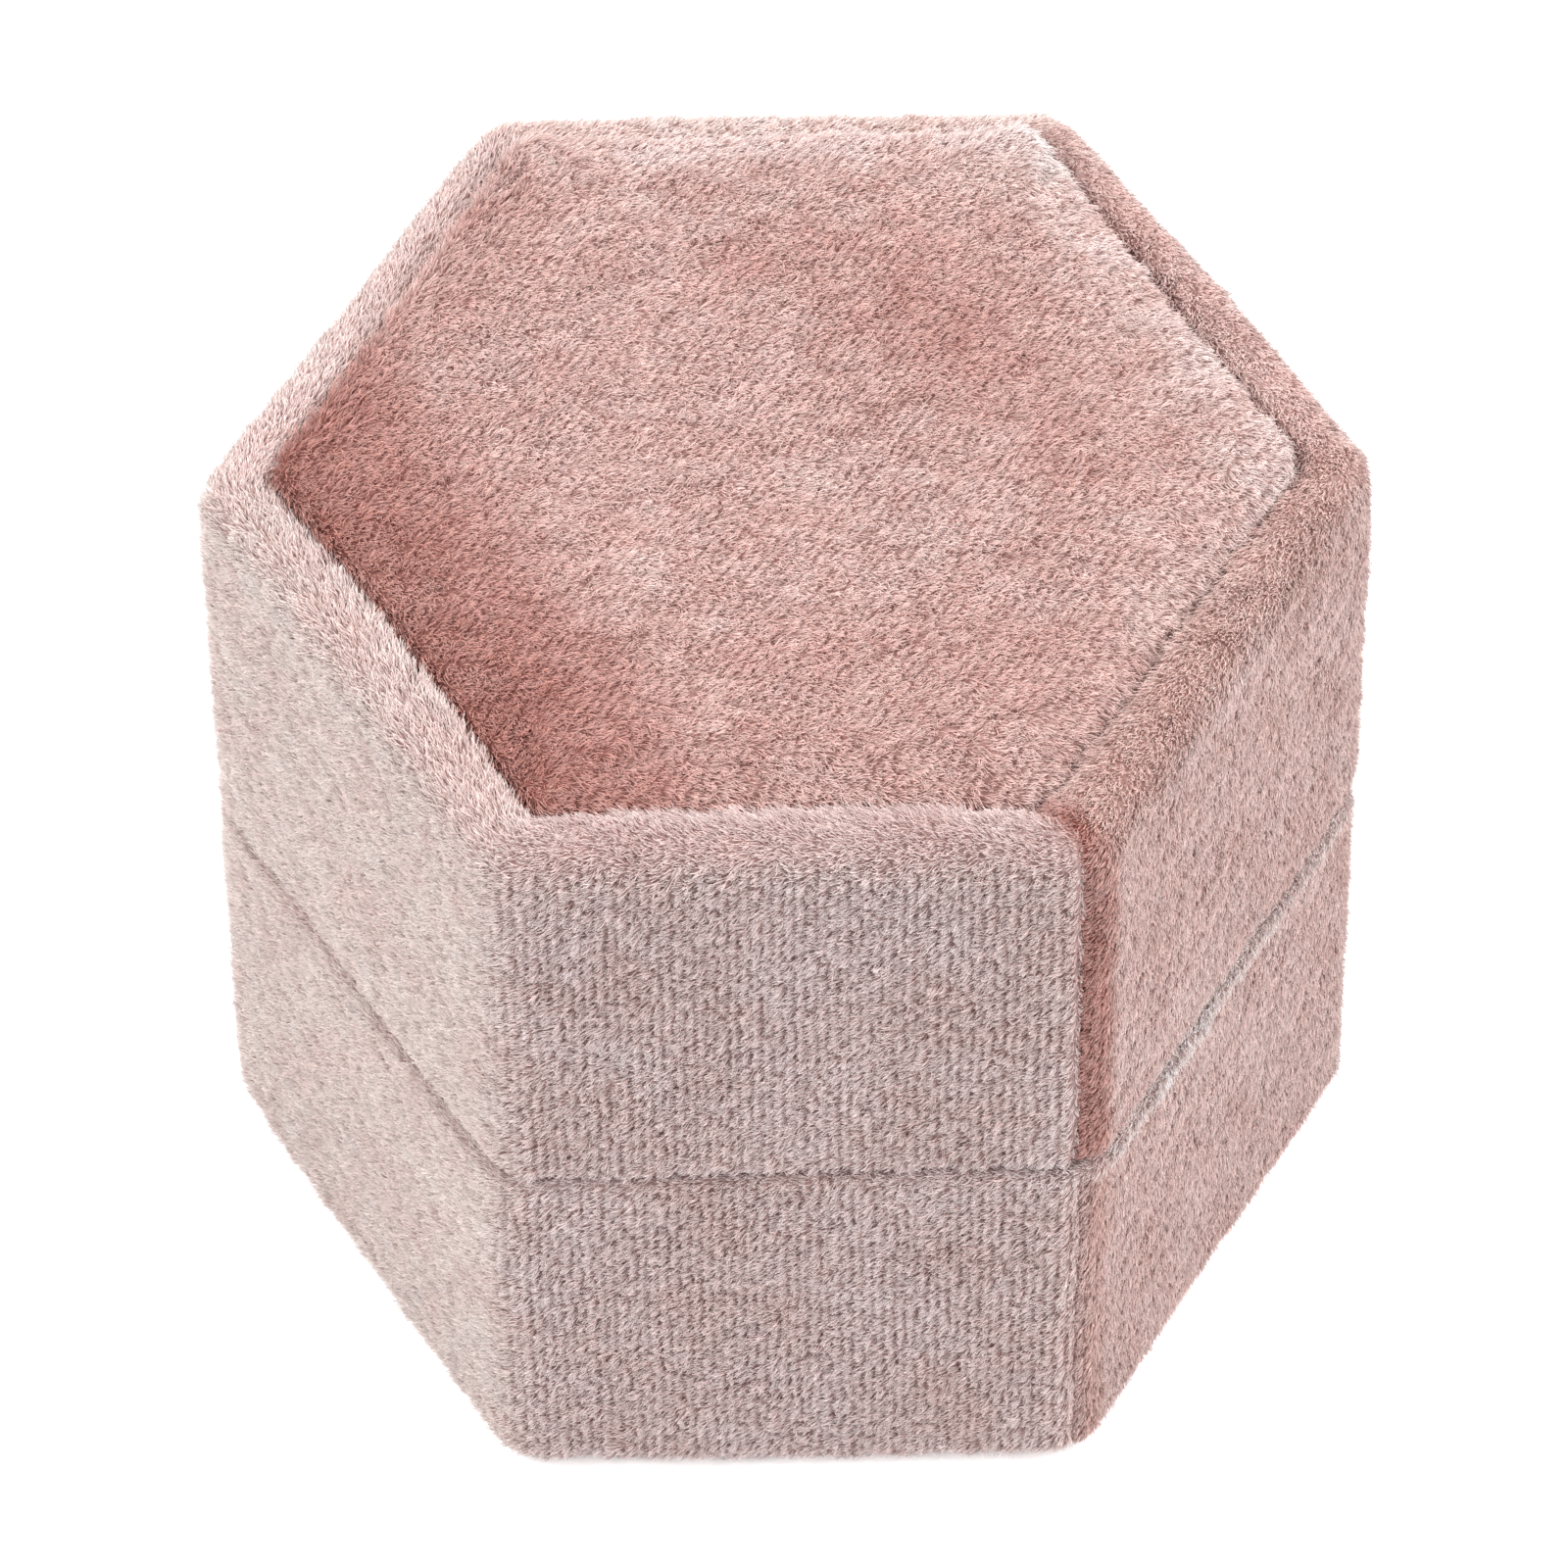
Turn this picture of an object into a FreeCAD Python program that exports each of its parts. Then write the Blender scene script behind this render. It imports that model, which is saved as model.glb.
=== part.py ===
import FreeCAD, Part
import math
import os

# Hexagonal velvet ring box: a base with a standing collar and a slotted ring insert, and a lid
# that lifts straight off.  All lengths are millimetres.  +Z is up, the origin is the middle of
# the underside, and one flat side faces -Y.  "Apothem" is the distance from the middle to a flat.

# Whole box
ACROSS_CORNERS = 58.0        # over the velvet, if the corners were sharp
BOX_HEIGHT = 47.7
BASE_TOP = 23.6              # top of the base wall
LID_GAP = 0.4                # between the base and the lid, all round
CORNER_RADIUS = 2.6          # upright corners, over the velvet

# Materials
VELVET = 0.8                 # backing and pile together
BASE_BOARD = 2.2
LID_BOARD = 1.8
COLLAR_BOARD = 0.8
BOTTOM_SHEET = 0.6
PAD_CARD = 1.0
SEAM_GAP = 0.3               # where the two ends of a wrapped strip meet

# Edges of the wraps
BASE_SHADOW = 0.4            # the wrap's lower edge stays this far off the table
BASE_LOWER_ROUND = 1.8
SEAM_ROUND = 1.0             # edges that meet where lid and base close
RIM_ROUND = 1.8
INNER_CORNER_RADIUS = 0.8
RECESS_CORNER_RADIUS = 1.2
UNDER_TURN = 7.0             # width of the wrap that is glued under the floor
BASE_TURN_IN = 8.0           # how far the wrap goes down inside the base
LID_TURN_IN = 6.0            # how far the wrap goes up inside the lid

# Collar and ring insert
COLLAR_TOP = 33.0
INSERT_TOP = 27.4
INSERT_SKIRT_BOTTOM = 10.0
INSERT_ROUND = 1.2
SLOT_LENGTH = 24.0
SLOT_WIDTH = 3.0
SLOT_DEPTH = 13.0
SLOT_OFFSET = 6.5            # from the middle to each slot

# Lid top and ceiling
DECK_TOP = 43.0
TOP_PAD_TOP = 47.3
TOP_PAD_ROUND = 1.8
TOP_PAD_CORNER_RADIUS = 2.2
PAD_CLEARANCE = 0.2
CEILING_BOTTOM = 38.3
CEILING_ROUND = 0.8

# Worked out from the above
COS_30 = math.cos(math.radians(30))
OUTER = ACROSS_CORNERS / 2 * COS_30
BOARD_FACE = OUTER - VELVET
BASE_BOARD_INNER = BOARD_FACE - BASE_BOARD
BASE_INNER = BASE_BOARD_INNER - VELVET
LID_BOARD_INNER = BOARD_FACE - LID_BOARD
LID_INNER = LID_BOARD_INNER - VELVET
COLLAR_OUTER = BASE_INNER
COLLAR_BOARD_OUTER = COLLAR_OUTER - VELVET
COLLAR_BOARD_INNER = COLLAR_BOARD_OUTER - COLLAR_BOARD
COLLAR_INNER = COLLAR_BOARD_INNER - VELVET
INSERT_OUTER = COLLAR_INNER - PAD_CLEARANCE
TOP_PAD_OUTER = LID_INNER - PAD_CLEARANCE
FLOOR_BOTTOM = BOTTOM_SHEET + VELVET
FLOOR_TOP = FLOOR_BOTTOM + BASE_BOARD
LID_BOTTOM = BASE_TOP + LID_GAP
DECK_BOTTOM = DECK_TOP - LID_BOARD
FRONT_RIGHT_CORNER = 300.0   # degrees round from +X; the velvet strips end here
BACK_LEFT_CORNER = 120.0     # the board strips end here
FAR = 2 * ACROSS_CORNERS     # longer than anything it cuts


def rounded_hexagon(apothem, radius, height):
    """A closed wire at one height: six straight sides joined by tangent arcs."""
    centre_distance = (apothem - radius) / COS_30
    arcs = []
    for corner in range(6):
        middle = math.radians(60 * corner)
        centre = FreeCAD.Vector(
            centre_distance * math.cos(middle), centre_distance * math.sin(middle), height)
        points = []
        for turn in (-30, 0, 30):
            angle = middle + math.radians(turn)
            points.append(centre + FreeCAD.Vector(
                radius * math.cos(angle), radius * math.sin(angle), 0))
        arcs.append(points)
    edges = []
    for index, arc in enumerate(arcs):
        following = arcs[(index + 1) % 6]
        edges.append(Part.Arc(arc[0], arc[1], arc[2]).toShape())
        edges.append(Part.LineSegment(arc[2], following[0]).toShape())
    return Part.Wire(edges)


def prism(apothem, bottom, top, radius=INNER_CORNER_RADIUS):
    """An upright hexagonal prism with rounded upright corners."""
    outline = Part.Face(rounded_hexagon(apothem, radius, bottom))
    return outline.extrude(FreeCAD.Vector(0, 0, top - bottom))


def outline_radius(apothem):
    """Corner radius of a layer that lies parallel to the box's outside."""
    return max(CORNER_RADIUS - (OUTER - apothem), INNER_CORNER_RADIUS)


def rim_edges(shape, height):
    """The edges of a shape that lie flat at one height."""
    flat = []
    for edge in shape.Edges:
        box = edge.BoundBox
        if abs(box.ZMin - height) < 1e-6 and abs(box.ZMax - height) < 1e-6:
            flat.append(edge)
    return flat


def rounded_prism(apothem, bottom, top, radius, bottom_round, top_round):
    """A prism whose lower and upper outline edges are rounded; 0 leaves an edge sharp."""
    shape = prism(apothem, bottom, top, radius)
    if bottom_round:
        shape = shape.makeFillet(bottom_round, rim_edges(shape, bottom))
    if top_round:
        shape = shape.makeFillet(top_round, rim_edges(shape, top))
    return shape


def corner_slit(angle, inner_apothem, bottom, top):
    """A thin upright blade that parts a wrapped strip at one corner."""
    start = (inner_apothem - INNER_CORNER_RADIUS) / COS_30 - INNER_CORNER_RADIUS
    blade = Part.makeBox(FAR, SEAM_GAP, top - bottom, FreeCAD.Vector(start, -SEAM_GAP / 2, bottom))
    blade.rotate(FreeCAD.Vector(0, 0, 0), FreeCAD.Vector(0, 0, 1), angle)
    return blade


def base_bottom_sheet():
    """Thin sheet that hides the turned-under velvet; the box stands on it."""
    return prism(BASE_BOARD_INNER, 0, BOTTOM_SHEET, RECESS_CORNER_RADIUS)


def base_floor_board():
    return prism(BASE_BOARD_INNER, FLOOR_BOTTOM, FLOOR_TOP)


def base_wall_board():
    """Folded strip of board whose ends meet at the back left corner."""
    top = BASE_TOP - VELVET
    wall = prism(BOARD_FACE, FLOOR_BOTTOM, top, outline_radius(BOARD_FACE))
    wall = wall.cut(prism(BASE_BOARD_INNER, FLOOR_BOTTOM, top))
    return wall.cut(corner_slit(BACK_LEFT_CORNER, BASE_BOARD_INNER, FLOOR_BOTTOM, top))


def base_outer_velvet():
    """Strip round the base: turned over the wall's top, and turned under the floor."""
    wrap = rounded_prism(
        OUTER, BASE_SHADOW, BASE_TOP, CORNER_RADIUS, BASE_LOWER_ROUND, SEAM_ROUND)
    board_top = BASE_TOP - VELVET
    turn_in_bottom = BASE_TOP - BASE_TURN_IN
    board_space = prism(BOARD_FACE, FLOOR_BOTTOM, board_top, outline_radius(BOARD_FACE))
    turn_in = prism(BASE_BOARD_INNER, turn_in_bottom, board_top)
    wrap = wrap.cut(board_space.cut(turn_in))
    wrap = wrap.cut(prism(BASE_INNER, turn_in_bottom, BASE_TOP))
    wrap = wrap.cut(prism(BASE_BOARD_INNER, BASE_SHADOW, BOTTOM_SHEET, RECESS_CORNER_RADIUS))
    wrap = wrap.cut(prism(BASE_BOARD_INNER - UNDER_TURN, BOTTOM_SHEET, FLOOR_BOTTOM))
    inner_end = BASE_BOARD_INNER - UNDER_TURN
    return wrap.cut(corner_slit(FRONT_RIGHT_CORNER, inner_end, BASE_SHADOW, BASE_TOP))


def collar_board():
    """Folded strip that stands inside the base and guides the lid."""
    top = COLLAR_TOP - VELVET
    ring = prism(COLLAR_BOARD_OUTER, FLOOR_TOP, top)
    ring = ring.cut(prism(COLLAR_BOARD_INNER, FLOOR_TOP, top))
    return ring.cut(corner_slit(BACK_LEFT_CORNER, COLLAR_BOARD_INNER, FLOOR_TOP, top))


def collar_velvet():
    """Velvet on both faces of the collar and over its top edge."""
    sleeve = rounded_prism(
        COLLAR_OUTER, FLOOR_TOP, COLLAR_TOP, INNER_CORNER_RADIUS, 0, SEAM_ROUND / 2)
    sleeve = sleeve.cut(prism(COLLAR_INNER, FLOOR_TOP, COLLAR_TOP))
    board_space = prism(COLLAR_BOARD_OUTER, FLOOR_TOP, COLLAR_TOP - VELVET)
    board_space = board_space.cut(prism(COLLAR_BOARD_INNER, FLOOR_TOP, COLLAR_TOP - VELVET))
    return sleeve.cut(board_space)


def slot_block(width, length, bottom, top, offset):
    """A round-ended upright slot, long in X."""
    straight = length - width
    body = Part.makeBox(
        straight, width, top - bottom, FreeCAD.Vector(-straight / 2, offset - width / 2, bottom))
    for end in (-straight / 2, straight / 2):
        body = body.fuse(Part.makeCylinder(
            width / 2, top - bottom, FreeCAD.Vector(end, offset, bottom)))
    return body.removeSplitter()


def insert_foam():
    """Foam block with the two cuts that grip a pair of rings."""
    top = INSERT_TOP - VELVET
    block = prism(INSERT_OUTER - VELVET, FLOOR_TOP, top)
    for side in (-1, 1):
        block = block.cut(slot_block(
            SLOT_WIDTH, SLOT_LENGTH, top - SLOT_DEPTH, top, side * SLOT_OFFSET))
    return block


def insert_velvet():
    """Velvet over the foam, tucked down into both cuts and round the sides."""
    cover = rounded_prism(
        INSERT_OUTER, INSERT_SKIRT_BOTTOM, INSERT_TOP, INNER_CORNER_RADIUS, 0, INSERT_ROUND)
    foam_top = INSERT_TOP - VELVET
    foam_space = prism(INSERT_OUTER - VELVET, INSERT_SKIRT_BOTTOM, foam_top)
    slot_bottom = foam_top - SLOT_DEPTH
    for side in (-1, 1):
        lining = slot_block(SLOT_WIDTH, SLOT_LENGTH, slot_bottom, foam_top, side * SLOT_OFFSET)
        foam_space = foam_space.cut(lining)
    cover = cover.cut(foam_space)
    for side in (-1, 1):
        cover = cover.cut(slot_block(
            SLOT_WIDTH - 2 * VELVET, SLOT_LENGTH - 2 * VELVET,
            slot_bottom + VELVET, INSERT_TOP, side * SLOT_OFFSET))
    return cover


def lid_wall_board():
    """Folded strip of board; it stands above the deck to make the raised rim."""
    bottom = LID_BOTTOM + VELVET
    top = BOX_HEIGHT - VELVET
    wall = prism(BOARD_FACE, bottom, top, outline_radius(BOARD_FACE))
    wall = wall.cut(prism(LID_BOARD_INNER, bottom, top))
    return wall.cut(corner_slit(BACK_LEFT_CORNER, LID_BOARD_INNER, bottom, top))


def lid_deck_board():
    """Board that closes the lid below the raised rim."""
    return prism(LID_BOARD_INNER, DECK_BOTTOM, DECK_TOP)


def lid_outer_velvet():
    """Strip round the lid: over the rim down to the deck, and turned in at the lower edge."""
    wrap = rounded_prism(OUTER, LID_BOTTOM, BOX_HEIGHT, CORNER_RADIUS, SEAM_ROUND, RIM_ROUND)
    board_bottom = LID_BOTTOM + VELVET
    board_top = BOX_HEIGHT - VELVET
    turn_in_top = LID_BOTTOM + LID_TURN_IN
    board_space = prism(BOARD_FACE, board_bottom, board_top, outline_radius(BOARD_FACE))
    lower_turn = prism(LID_BOARD_INNER, board_bottom, turn_in_top)
    rim_turn = prism(LID_BOARD_INNER, DECK_TOP, board_top)
    wrap = wrap.cut(board_space.cut(lower_turn).cut(rim_turn))
    wrap = wrap.cut(prism(LID_INNER, LID_BOTTOM, turn_in_top))
    wrap = wrap.cut(prism(LID_INNER, DECK_TOP, BOX_HEIGHT, RECESS_CORNER_RADIUS))
    return wrap.cut(corner_slit(FRONT_RIGHT_CORNER, LID_INNER, LID_BOTTOM, BOX_HEIGHT))


def lid_lining_velvet():
    """Strip that lines the lid's wall between the turned-in edge and the ceiling."""
    bottom = LID_BOTTOM + LID_TURN_IN
    lining = prism(LID_BOARD_INNER, bottom, DECK_BOTTOM)
    return lining.cut(prism(LID_INNER, bottom, DECK_BOTTOM))


def lid_top_pad_card():
    return prism(TOP_PAD_OUTER - VELVET, DECK_TOP, DECK_TOP + PAD_CARD, RECESS_CORNER_RADIUS)


def lid_top_pad_foam():
    """Thin foam that puffs up the top panel."""
    return prism(
        TOP_PAD_OUTER - VELVET, DECK_TOP + PAD_CARD, TOP_PAD_TOP - VELVET, RECESS_CORNER_RADIUS)


def lid_top_pad_velvet():
    """Padded velvet panel that fills the recess inside the rim."""
    cover = rounded_prism(
        TOP_PAD_OUTER, DECK_TOP, TOP_PAD_TOP, TOP_PAD_CORNER_RADIUS, 0, TOP_PAD_ROUND)
    return cover.cut(prism(
        TOP_PAD_OUTER - VELVET, DECK_TOP, TOP_PAD_TOP - VELVET, RECESS_CORNER_RADIUS))


def lid_ceiling_card():
    return prism(TOP_PAD_OUTER - VELVET, DECK_BOTTOM - PAD_CARD, DECK_BOTTOM)


def lid_ceiling_foam():
    """Thin foam behind the velvet that faces the rings."""
    return prism(TOP_PAD_OUTER - VELVET, CEILING_BOTTOM + VELVET, DECK_BOTTOM - PAD_CARD)


def lid_ceiling_velvet():
    """Padded velvet panel under the deck."""
    cover = rounded_prism(
        TOP_PAD_OUTER, CEILING_BOTTOM, DECK_BOTTOM, INNER_CORNER_RADIUS, CEILING_ROUND, 0)
    return cover.cut(prism(TOP_PAD_OUTER - VELVET, CEILING_BOTTOM + VELVET, DECK_BOTTOM))


PIECES = (
    base_bottom_sheet,
    base_floor_board,
    base_wall_board,
    base_outer_velvet,
    collar_board,
    collar_velvet,
    insert_foam,
    insert_velvet,
    lid_wall_board,
    lid_deck_board,
    lid_outer_velvet,
    lid_lining_velvet,
    lid_top_pad_card,
    lid_top_pad_foam,
    lid_top_pad_velvet,
    lid_ceiling_card,
    lid_ceiling_foam,
    lid_ceiling_velvet,
)


def main():
    os.makedirs("parts", exist_ok=True)
    for piece in PIECES:
        shape = piece()
        assert shape.isValid() and len(shape.Solids) == 1, piece.__name__
        solid = shape.Solids[0]
        solid.exportStep("parts/" + piece.__name__ + ".step")
        box = solid.BoundBox
        print("%-20s %9.1f mm3  z %5.1f to %5.1f" % (
            piece.__name__, solid.Volume, box.ZMin, box.ZMax))


main()
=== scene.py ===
import math
import bmesh
import bpy
import numpy as np
from mathutils import Matrix, Vector


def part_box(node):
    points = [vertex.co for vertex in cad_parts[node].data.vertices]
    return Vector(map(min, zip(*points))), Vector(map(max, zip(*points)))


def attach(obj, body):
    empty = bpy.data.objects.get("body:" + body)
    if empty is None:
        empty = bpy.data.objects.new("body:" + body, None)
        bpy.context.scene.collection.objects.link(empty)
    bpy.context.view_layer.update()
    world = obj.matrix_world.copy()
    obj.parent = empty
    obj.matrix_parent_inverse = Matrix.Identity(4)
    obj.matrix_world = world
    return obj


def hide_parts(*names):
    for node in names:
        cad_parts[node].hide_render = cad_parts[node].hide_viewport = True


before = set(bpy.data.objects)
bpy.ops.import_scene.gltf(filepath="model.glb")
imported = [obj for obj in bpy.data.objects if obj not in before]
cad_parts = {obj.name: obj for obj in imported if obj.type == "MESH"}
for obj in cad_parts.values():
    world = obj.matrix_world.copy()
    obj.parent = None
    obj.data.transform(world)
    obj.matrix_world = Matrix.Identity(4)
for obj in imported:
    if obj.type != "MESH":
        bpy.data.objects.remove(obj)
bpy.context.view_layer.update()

# Looks of a hexagonal velvet ring box.  Lengths here are millimetres and become metres where a
# mesh or a curve is made.  A section's points are (out, height), and out is measured from the
# wrap's outer face: 0 there, negative further in.  Columns run anticlockwise, seen from above.

MM = 0.001


def size_of(node):
    """Lowest and highest corner of a CAD node, in millimetres."""
    low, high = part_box(node)
    return np.array(low) / MM, np.array(high) / MM


# ---------------------------------------------------------------- places, from the CAD frame
LID_LOW, LID_HIGH = size_of("lid_outer_velvet")
BASE_LOW, BASE_HIGH = size_of("base_outer_velvet")
COLLAR_LOW, COLLAR_HIGH = size_of("collar_velvet")
INSERT_LOW, INSERT_HIGH = size_of("insert_velvet")
LINING_LOW, LINING_HIGH = size_of("lid_lining_velvet")
PAD_LOW, PAD_HIGH = size_of("lid_top_pad_velvet")
CEILING_LOW, CEILING_HIGH = size_of("lid_ceiling_velvet")
PAD_FOAM_LOW, PAD_FOAM_HIGH = size_of("lid_top_pad_foam")
CEILING_FOAM_LOW, CEILING_FOAM_HIGH = size_of("lid_ceiling_foam")
INSERT_FOAM_LOW, INSERT_FOAM_HIGH = size_of("insert_foam")
DECK_LOW, DECK_HIGH = size_of("lid_deck_board")
SHEET_HIGH = size_of("base_bottom_sheet")[1]

OUTER = LID_HIGH[1]                  # apothem over the velvet
LID_WALL = OUTER - PAD_HIGH[1] - 0.2
BASE_WALL = OUTER - COLLAR_HIGH[1]
COS_30 = math.cos(math.radians(30))
CORNER_RADIUS = 2.6                  # of the box's upright edges
RECESS_RADIUS = 1.2                  # of the corners round the sunk panel
CORNER_WAY = np.array([0.5, -COS_30])          # towards the front right corner, where cloth ends
PANEL_WAY = np.array([COS_30, -0.5])           # the right front panel's facing
PANEL_RUN = np.array([0.5, COS_30])            # along that panel, away from the corner

# The two cuts of the ring insert, as in the CAD
SLOT_LENGTH = 24.0
SLOT_WIDTH = 3.0
SLOT_DEPTH = 13.0
SLOT_OFFSET = 6.5

# ---------------------------------------------------------------- velvet
CLOTH = 0.8                          # backing and pile, as in the CAD
SKIN = 0.14                          # the mesh lies this far in from the CAD's outer face
GRID = 0.42                          # spacing of a wrap's mesh
PILE_LENGTH = 0.62
PILE_ROOT = 0.027                    # fibre radius
PILE_TIP = 0.010
PILE_DENSITY = 88        # fibres in a square millimetre
HIDDEN_DENSITY = 24       # inside the closed box
FIBRE_POINTS = 3
LEAN = math.radians(38)              # of a fibre, above the surface
WALE = 0.535                         # pitch of the knitted backing's upright rows of loops
COURSE = 0.40                        # pitch of the loops in a row


# ---------------------------------------------------------------- noise
def waves(points, wavelength, seed, count=18):
    """Smooth noise with a spread of about one: sine waves in random directions, from a seed."""
    rng = np.random.default_rng(seed)
    directions = rng.normal(size=(count, 3))
    directions /= np.linalg.norm(directions, axis=1)[:, None]
    lengths = wavelength * rng.uniform(0.7, 1.5, count)
    phases = rng.uniform(0, 2 * math.pi, count)
    total = np.zeros(len(points))
    for direction, length, phase in zip(directions, lengths, phases):
        total += np.sin(points @ direction * (2 * math.pi / length) + phase)
    return total * math.sqrt(2 / count)


def wave_vectors(points, wavelength, seed):
    return np.stack([waves(points, wavelength, seed + axis) for axis in range(3)], axis=1)


def unit(vectors):
    return vectors / np.maximum(np.linalg.norm(vectors, axis=-1, keepdims=True), 1e-12)


def smooth_step(low, high, value):
    t = np.clip((value - low) / (high - low), 0, 1)
    return t * t * (3 - 2 * t)


# ---------------------------------------------------------------- the two directions of a wrap
def section_path(corners, radii, step):
    """Points and outward normals along a section with rounded corners; outward is on the right."""
    corners = [np.array(corner, float) for corner in corners]
    ahead = [unit(b - a) for a, b in zip(corners, corners[1:])]
    turns = [math.atan2(a[0] * b[1] - a[1] * b[0], a @ b) for a, b in zip(ahead, ahead[1:])]
    trims = [radius * math.tan(abs(turn) / 2) for radius, turn in zip(radii, turns)]
    trims = [0.0] + trims + [0.0]
    points, normals = [], []
    for index, direction in enumerate(ahead):
        start = corners[index] + direction * trims[index]
        end = corners[index + 1] - direction * trims[index + 1]
        right = np.array([direction[1], -direction[0]])
        pieces = max(1, round(np.linalg.norm(end - start) / step))
        for part in range(pieces + 1):
            points.append(start + (end - start) * part / pieces)
            normals.append(right)
        if index == len(turns):
            break
        turn, radius = turns[index], radii[index]
        side = math.copysign(1.0, turn)
        centre = end - right * radius * side
        pieces = max(3, round(abs(turn) * radius / step * 1.6))
        for part in range(1, pieces):
            angle = turn * part / pieces
            turned = np.array([
                right[0] * math.cos(angle) - right[1] * math.sin(angle),
                right[0] * math.sin(angle) + right[1] * math.cos(angle)])
            points.append(centre + turned * radius * side)
            normals.append(turned)
    return np.array(points), np.array(normals)


def plan_columns(step, corner_pieces=7, ends=(4, 4)):
    """One turn round a hexagon from the front right corner: (corner, angle) or (side, share)."""
    columns = []
    side_pieces = round((OUTER / COS_30 - 3) / step)
    for turn in range(7):
        corner = (5 + turn) % 6
        first = 0 if turn == 0 else -30
        last = 0 if turn == 6 else 30
        pieces = corner_pieces if 0 < turn < 6 else ends[turn // 6]
        for angle in np.linspace(first, last, pieces):
            columns.append(("corner", corner, 60 * corner + angle))
        if turn < 6:
            for share in np.linspace(0, 1, side_pieces + 2)[1:-1]:
                columns.append(("side", corner, share))
    return columns


def ring(columns, apothem, radius):
    """Where the columns stand on one rounded hexagon."""
    places = []
    distance = (apothem - radius) / COS_30
    for kind, corner, value in columns:
        middle = math.radians(60 * corner)
        centre = distance * np.array([math.cos(middle), math.sin(middle)])
        if kind == "corner":
            angle = math.radians(value)
            places.append(centre + radius * np.array([math.cos(angle), math.sin(angle)]))
            continue
        normal_angle = middle + math.radians(30)
        after = middle + math.radians(60)
        following = distance * np.array([math.cos(after), math.sin(after)])
        normal = np.array([math.cos(normal_angle), math.sin(normal_angle)])
        places.append(centre + (following - centre) * value + radius * normal)
    return np.array(places)


def sweep(outer_plan, inner_plan, wall, section):
    """Places (column, row, xyz) of a section carried round a plan."""
    out, height = section[:, 0], section[:, 1]
    share = (-out / wall)[None, :, None]
    flat = outer_plan[:, None, :] * (1 - share) + inner_plan[:, None, :] * share
    tall = np.broadcast_to(height[None, :, None], flat.shape[:2] + (1,))
    return np.concatenate([flat, tall], axis=2)


def grid_normals(places, closed):
    """Outward unit normals of a swept grid."""
    if closed:
        along = np.roll(places, -1, axis=0) - np.roll(places, 1, axis=0)
    else:
        along = np.gradient(places, axis=0)
    across = np.gradient(places, axis=1)
    return unit(np.cross(along, across))


# ---------------------------------------------------------------- meshes
def linked(name, data):
    """A new object in the scene."""
    made = bpy.data.objects.new(name, data)
    bpy.context.scene.collection.objects.link(made)
    return made


def smooth_faces(mesh):
    mesh.polygons.foreach_set("use_smooth", [True] * len(mesh.polygons))


def new_object(name, vertices, faces, materials=(), smooth=True):
    mesh = bpy.data.meshes.new(name)
    mesh.from_pydata((vertices * MM).tolist(), [], faces)
    mesh.update()
    for material in materials:
        mesh.materials.append(material)
    if smooth:
        smooth_faces(mesh)
    return linked(name, mesh)


def colour_attribute(made, name, colours):
    """Stores one colour for each vertex."""
    attribute = made.data.color_attributes.new(name, "FLOAT_COLOR", "POINT")
    alpha = np.ones((len(colours), 1))
    attribute.data.foreach_set("color", np.concatenate([colours, alpha], axis=1).ravel())


def shell_faces(columns, rows, closed):
    """Quads of a closed strip: face layer first, then backing layer, then its edges and ends."""
    def face(column, row):
        return (column % columns) * rows + row

    def back(column, row):
        return columns * rows + face(column, row)

    quads = []
    for column in range(columns if closed else columns - 1):
        for row in range(rows - 1):
            quads.append((face(column, row), face(column + 1, row),
                          face(column + 1, row + 1), face(column, row + 1)))
            quads.append((back(column, row), back(column, row + 1),
                          back(column + 1, row + 1), back(column + 1, row)))
        quads.append((face(column, 0), back(column, 0),
                      back(column + 1, 0), face(column + 1, 0)))
        quads.append((face(column, rows - 1), face(column + 1, rows - 1),
                      back(column + 1, rows - 1), back(column, rows - 1)))
    if not closed:
        last = columns - 1
        for row in range(rows - 1):
            quads.append((face(0, row), face(0, row + 1), back(0, row + 1), back(0, row)))
            quads.append((face(last, row), back(last, row),
                          back(last, row + 1), face(last, row + 1)))
    return quads


def grid_triangles(columns, rows):
    """Both triangles of every square of a grid."""
    triangles = []
    for column in range(columns - 1):
        for row in range(rows - 1):
            a, b = column * rows + row, (column + 1) * rows + row
            triangles.append((a, b, b + 1))
            triangles.append((a, b + 1, a + 1))
    return np.array(triangles)


# ---------------------------------------------------------------- nap: how the pile lies
# The root is darker than the tip by painted shade, for light lost low in the pile.
SHADED_ROOT_COLOUR = np.array([0.52, 0.27, 0.235])
TIP_COLOUR = np.array([0.90, 0.69, 0.655])
SURFACE_SHARE = np.array([0.62, 0.53, 0.52])     # light lost between fibres, seen as a surface


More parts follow.
